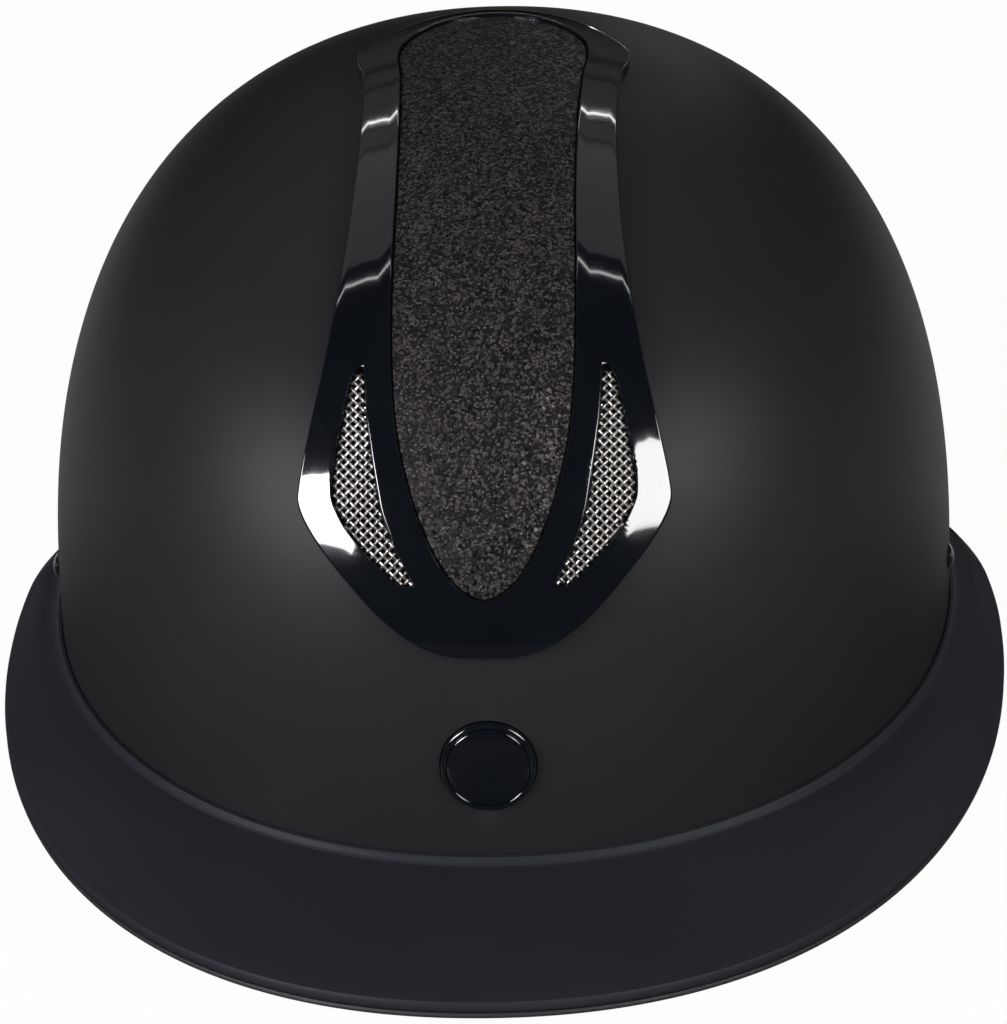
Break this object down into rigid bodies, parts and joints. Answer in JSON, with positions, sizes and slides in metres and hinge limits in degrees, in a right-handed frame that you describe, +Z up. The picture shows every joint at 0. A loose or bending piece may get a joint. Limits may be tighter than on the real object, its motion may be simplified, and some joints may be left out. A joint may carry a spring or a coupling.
{
  "type": "riding helmet",
  "caption": "Hard riding helmet with a wide brim, a gloss centre panel with mesh vents, a foam liner, a nape dial that draws two fit arms, and a chin harness tucked inside.",
  "frame": {"origin": "middle of the base, on the surface the helmet stands on", "axes": "+Z up, -Y to the front, where the brim points, +X to the wearer's left"},
  "size_m": [0.2388, 0.3244, 0.1442],
  "materials": {
    "shell_black": "matte, slightly warm black",
    "brim_black": "matte, slightly cool black",
    "lining_black": "satin black underside of the brim",
    "gloss_black": "gloss black",
    "sparkle_charcoal": "charcoal with fine sparkle under clear lacquer",
    "mesh_silver": "bright metal mesh",
    "steel": "plated steel",
    "foam_grey": "moulded expanded foam, dark grey",
    "pad_cloth": "knitted cloth over soft foam",
    "webbing_black": "woven webbing",
    "trim_black": "soft edging, matte",
    "nylon_black": "moulded nylon, satin"
  },
  "bodies": {
    "helmet": {"outer_shell": "shell_black", "brim": "brim_black", "brim_lining": "lining_black", "rim_trim": "trim_black", "panel_frame": "gloss_black", "glitter_insert": "sparkle_charcoal", "vent_mesh_left": "mesh_silver", "vent_mesh_right": "mesh_silver", "badge_ring": "gloss_black", "badge_dome": "gloss_black", "harness_rivets": "gloss_black", "rivet_washers": "steel", "eps_liner": "foam_grey", "crown_pad": "pad_cloth", "headband_pad": "pad_cloth", "nape_pad": "pad_cloth", "arm_guides": "nylon_black", "dial_housing": "nylon_black", "strap_front_left": "webbing_black", "strap_rear_left": "webbing_black", "strap_front_right": "webbing_black", "strap_rear_right": "webbing_black", "ear_divider_left": "nylon_black", "ear_divider_right": "nylon_black", "chin_strap_short": "webbing_black", "chin_strap_long": "webbing_black", "buckle_socket": "nylon_black", "chin_pad": "pad_cloth"},
    "dial": {"dial_knob": "nylon_black", "dial_pinion": "steel", "dial_screw": "steel"},
    "arm_left": {"fit_arm_left": "nylon_black"},
    "arm_right": {"fit_arm_right": "nylon_black"},
    "buckle_half": {"buckle_tongue": "nylon_black", "tongue_loop": "webbing_black"},
    "keeper": {"strap_keeper": "nylon_black"}
  },
  "joints": [
    {"name": "dial_turn", "type": "hinge", "parent": "helmet", "child": "dial", "pos_m": [0, 0.12725, 0.0156], "axis": [0, -1, 0], "range_deg": [0, 160]},
    {"name": "arm_left_turn", "type": "hinge", "parent": "helmet", "child": "arm_left", "pos_m": [0, 0.05125, 0.0156], "axis": [0, 0, 1], "range_deg": [0, 10.6]},
    {"name": "arm_right_turn", "type": "hinge", "parent": "helmet", "child": "arm_right", "pos_m": [0, 0.05125, 0.0156], "axis": [0, 0, 1], "range_deg": [-10.6, 0]},
    {"name": "buckle_slide", "type": "slide", "parent": "helmet", "child": "buckle_half", "axis": [0, 1, 0], "range_m": [0, 0.022]},
    {"name": "keeper_slide", "type": "hinge", "parent": "helmet", "child": "keeper", "pos_m": [0.0114, 0.03225, 0.0498], "axis": [0, 1, 0], "range_deg": [-6, 1]}
  ],
  "couplings": [
    {"joint": "arm_left_turn", "follows": "dial_turn", "ratio": 0.06579},
    {"joint": "arm_right_turn", "follows": "dial_turn", "ratio": -0.06579}
  ]
}
